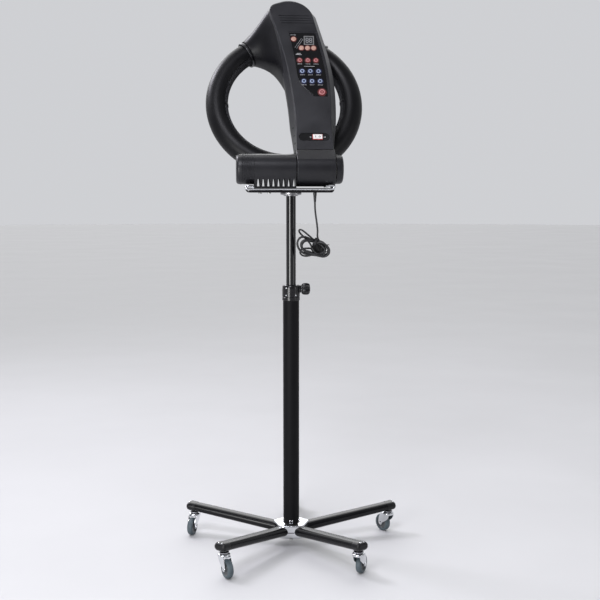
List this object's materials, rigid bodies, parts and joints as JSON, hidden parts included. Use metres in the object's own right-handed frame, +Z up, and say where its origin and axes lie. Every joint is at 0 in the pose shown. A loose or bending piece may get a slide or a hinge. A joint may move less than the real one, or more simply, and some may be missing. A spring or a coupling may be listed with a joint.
{
  "type": "hair processor",
  "caption": "Salon heating-ring hair processor: infrared ring on a leaning control arm, tilting hinge barrel, sliding mast and five-star castor base.",
  "frame": {"origin": "on the floor under the column's axis", "axes": "+Z up the column; +X along the hinge barrel to the operator's right; +Y away from the operator, towards the client"},
  "size_m": [0.6187, 0.6238, 1.5541],
  "materials": {
    "bright_metal": "polished chrome plate",
    "bolt_steel": "zinc plated",
    "leg_paint": "gloss black enamel",
    "black_plastic": "moulded black",
    "column_paint": "satin black enamel",
    "mast_paint": "gloss black",
    "flange_metal": "satin",
    "gloss_black_plastic": "gloss",
    "bush_plastic": "machined nylon",
    "charcoal_plastic": "satin charcoal",
    "ring_plastic": "satin black",
    "grille_metal": "satin dark grey",
    "heater_quartz": "milky quartz",
    "cord_rubber": "matt black",
    "panel_gloss": "high gloss black",
    "display_grey": "tinted window",
    "board_green": "circuit board",
    "switch_white": "moulded",
    "roller_rubber": "matt",
    "castor_tyre": "grey-blue",
    "key_orange": "moulded",
    "key_red": "moulded",
    "key_blue": "moulded"
  },
  "bodies": {
    "root": {"hub_top": "bright_metal", "hub_bottom": "bright_metal", "hub_bolts": "bolt_steel", "base_legs": "leg_paint", "leg_caps": "black_plastic", "castor_stems": "bright_metal", "column_tube": "column_paint", "mast_bushes": "bush_plastic", "clamp_collar": "gloss_black_plastic"},
    "fork_1": {"castor_fork_1": "bright_metal"},
    "wheel_1": {"castor_wheel_1": "castor_tyre"},
    "fork_2": {"castor_fork_2": "bright_metal"},
    "wheel_2": {"castor_wheel_2": "castor_tyre"},
    "fork_3": {"castor_fork_3": "bright_metal"},
    "wheel_3": {"castor_wheel_3": "castor_tyre"},
    "fork_4": {"castor_fork_4": "bright_metal"},
    "wheel_4": {"castor_wheel_4": "castor_tyre"},
    "fork_5": {"castor_fork_5": "bright_metal"},
    "wheel_5": {"castor_wheel_5": "castor_tyre"},
    "knob": {"clamp_knob": "black_plastic"},
    "mast": {"mast": "mast_paint"},
    "head": {"head_flange": "flange_metal", "bracket": "bright_metal", "bracket_screws": "bolt_steel", "barrel_housing": "charcoal_plastic", "barrel_cap_left": "charcoal_plastic", "barrel_cap_right": "charcoal_plastic", "hinge_shaft": "bolt_steel", "friction_washers": "bush_plastic", "strain_relief": "cord_rubber", "cord_run": "cord_rubber", "cord_hank": "cord_rubber", "mains_plug": "cord_rubber"},
    "arm": {"arm_sleeve": "charcoal_plastic", "arm_front_cover": "charcoal_plastic", "arm_rear_cover": "charcoal_plastic", "saddle_trims": "bright_metal", "panel_fascia": "panel_gloss", "display": "display_grey", "circuit_board": "board_green", "drive_motor": "bolt_steel"},
    "slider": {"slide_switch": "switch_white"},
    "roller": {"drive_roller": "roller_rubber"},
    "ring": {"ring_shell": "ring_plastic", "ring_grille": "grille_metal", "heater_elements": "heater_quartz"},
    "key_round": {"key_round": "key_orange"},
    "key_time_1": {"key_time_1": "key_orange"},
    "key_time_2": {"key_time_2": "key_orange"},
    "key_time_3": {"key_time_3": "key_orange"},
    "key_program_1": {"key_program_1": "key_red"},
    "key_program_2": {"key_program_2": "key_red"},
    "key_program_3": {"key_program_3": "key_red"},
    "key_heat_1": {"key_heat_1": "key_blue"},
    "key_heat_2": {"key_heat_2": "key_blue"},
    "key_heat_3": {"key_heat_3": "key_blue"},
    "key_zone_1": {"key_zone_1": "key_blue"},
    "key_zone_2": {"key_zone_2": "key_blue"},
    "key_zone_3": {"key_zone_3": "key_blue"},
    "key_stop": {"key_stop": "key_red"}
  },
  "joints": [
    {"name": "castor_swivel_1", "type": "hinge", "parent": "root", "child": "fork_1", "pos_m": [0.02197, 0.29919, 0.0525], "axis": [0, 0, 1], "continuous": true},
    {"name": "castor_roll_1", "type": "hinge", "parent": "fork_1", "child": "wheel_1", "pos_m": [0.02344, 0.31914, 0.025], "axis": [-0.9973, 0.0732, 0], "continuous": true},
    {"name": "castor_swivel_2", "type": "hinge", "parent": "root", "child": "fork_2", "pos_m": [-0.27776, 0.11335, 0.0525], "axis": [0, 0, 1], "continuous": true},
    {"name": "castor_roll_2", "type": "hinge", "parent": "fork_2", "child": "wheel_2", "pos_m": [-0.2846, 0.09456, 0.025], "axis": [0.9397, -0.342, 0], "continuous": true},
    {"name": "castor_swivel_3", "type": "hinge", "parent": "root", "child": "fork_3", "pos_m": [-0.19364, -0.22914, 0.0525], "axis": [0, 0, 1], "continuous": true},
    {"name": "castor_roll_3", "type": "hinge", "parent": "fork_3", "child": "wheel_3", "pos_m": [-0.18518, -0.24727, 0.025], "axis": [0.9063, 0.4226, 0], "continuous": true},
    {"name": "castor_swivel_4", "type": "hinge", "parent": "root", "child": "fork_4", "pos_m": [0.15809, -0.25497, 0.0525], "axis": [0, 0, 1], "continuous": true},
    {"name": "castor_roll_4", "type": "hinge", "parent": "fork_4", "child": "wheel_4", "pos_m": [0.16809, -0.23765, 0.025], "axis": [-0.866, 0.5, 0], "continuous": true},
    {"name": "castor_swivel_5", "type": "hinge", "parent": "root", "child": "fork_5", "pos_m": [0.29134, 0.07156, 0.0525], "axis": [0, 0, 1], "continuous": true},
    {"name": "castor_roll_5", "type": "hinge", "parent": "fork_5", "child": "wheel_5", "pos_m": [0.27987, 0.08794, 0.025], "axis": [-0.8192, -0.5736, 0], "continuous": true},
    {"name": "clamp_turn", "type": "hinge", "parent": "root", "child": "knob", "pos_m": [0, 0, 0.732], "axis": [1, 0, 0], "range_deg": [0, 540]},
    {"name": "height_slide", "type": "slide", "parent": "root", "child": "mast", "axis": [0, 0, 1], "range_m": [-0.2, 0.15]},
    {"name": "head_swivel", "type": "hinge", "parent": "mast", "child": "head", "pos_m": [0, 0, 0.999], "axis": [0, 0, 1], "range_deg": [-170, 170]},
    {"name": "head_tilt", "type": "hinge", "parent": "head", "child": "arm", "pos_m": [0, 0, 1.063], "axis": [1, 0, 0], "range_deg": [-35, 24.5]},
    {"name": "ring_turn", "type": "hinge", "parent": "arm", "child": "ring", "pos_m": [-0.0065, 0.17258, 1.25359], "axis": [0, 0.91, -0.4147], "range_deg": [-45, 45]},
    {"name": "roller_turn", "type": "hinge", "parent": "arm", "child": "roller", "pos_m": [-0.0065, 0.27202, 1.4718], "axis": [0, 0.91, -0.4147], "range_deg": [-900, 900]},
    {"name": "mode_slide", "type": "slide", "parent": "arm", "child": "slider", "axis": [1, 0, 0], "range_m": [-0.012, 0.012]},
    {"name": "key_round_press", "type": "slide", "parent": "arm", "child": "key_round", "axis": [0, 0.91, -0.4147], "range_m": [0, 0.001], "stiffness_N_per_m": 600},
    {"name": "key_time_1_press", "type": "slide", "parent": "arm", "child": "key_time_1", "axis": [0, 0.91, -0.4147], "range_m": [0, 0.001], "stiffness_N_per_m": 600},
    {"name": "key_time_2_press", "type": "slide", "parent": "arm", "child": "key_time_2", "axis": [0, 0.91, -0.4147], "range_m": [0, 0.001], "stiffness_N_per_m": 600},
    {"name": "key_time_3_press", "type": "slide", "parent": "arm", "child": "key_time_3", "axis": [0, 0.91, -0.4147], "range_m": [0, 0.001], "stiffness_N_per_m": 600},
    {"name": "key_program_1_press", "type": "slide", "parent": "arm", "child": "key_program_1", "axis": [0, 0.91, -0.4147], "range_m": [0, 0.001], "stiffness_N_per_m": 600},
    {"name": "key_program_2_press", "type": "slide", "parent": "arm", "child": "key_program_2", "axis": [0, 0.91, -0.4147], "range_m": [0, 0.001], "stiffness_N_per_m": 600},
    {"name": "key_program_3_press", "type": "slide", "parent": "arm", "child": "key_program_3", "axis": [0, 0.91, -0.4147], "range_m": [0, 0.001], "stiffness_N_per_m": 600},
    {"name": "key_heat_1_press", "type": "slide", "parent": "arm", "child": "key_heat_1", "axis": [0, 0.91, -0.4147], "range_m": [0, 0.001], "stiffness_N_per_m": 600},
    {"name": "key_heat_2_press", "type": "slide", "parent": "arm", "child": "key_heat_2", "axis": [0, 0.91, -0.4147], "range_m": [0, 0.001], "stiffness_N_per_m": 600},
    {"name": "key_heat_3_press", "type": "slide", "parent": "arm", "child": "key_heat_3", "axis": [0, 0.91, -0.4147], "range_m": [0, 0.001], "stiffness_N_per_m": 600},
    {"name": "key_zone_1_press", "type": "slide", "parent": "arm", "child": "key_zone_1", "axis": [0, 0.91, -0.4147], "range_m": [0, 0.001], "stiffness_N_per_m": 600},
    {"name": "key_zone_2_press", "type": "slide", "parent": "arm", "child": "key_zone_2", "axis": [0, 0.91, -0.4147], "range_m": [0, 0.001], "stiffness_N_per_m": 600},
    {"name": "key_zone_3_press", "type": "slide", "parent": "arm", "child": "key_zone_3", "axis": [0, 0.91, -0.4147], "range_m": [0, 0.001], "stiffness_N_per_m": 600},
    {"name": "key_stop_press", "type": "slide", "parent": "arm", "child": "key_stop", "axis": [0, 0.91, -0.4147], "range_m": [0, 0.001], "stiffness_N_per_m": 600}
  ],
  "couplings": [
    {"joint": "roller_turn", "follows": "ring_turn", "ratio": -18.958}
  ]
}
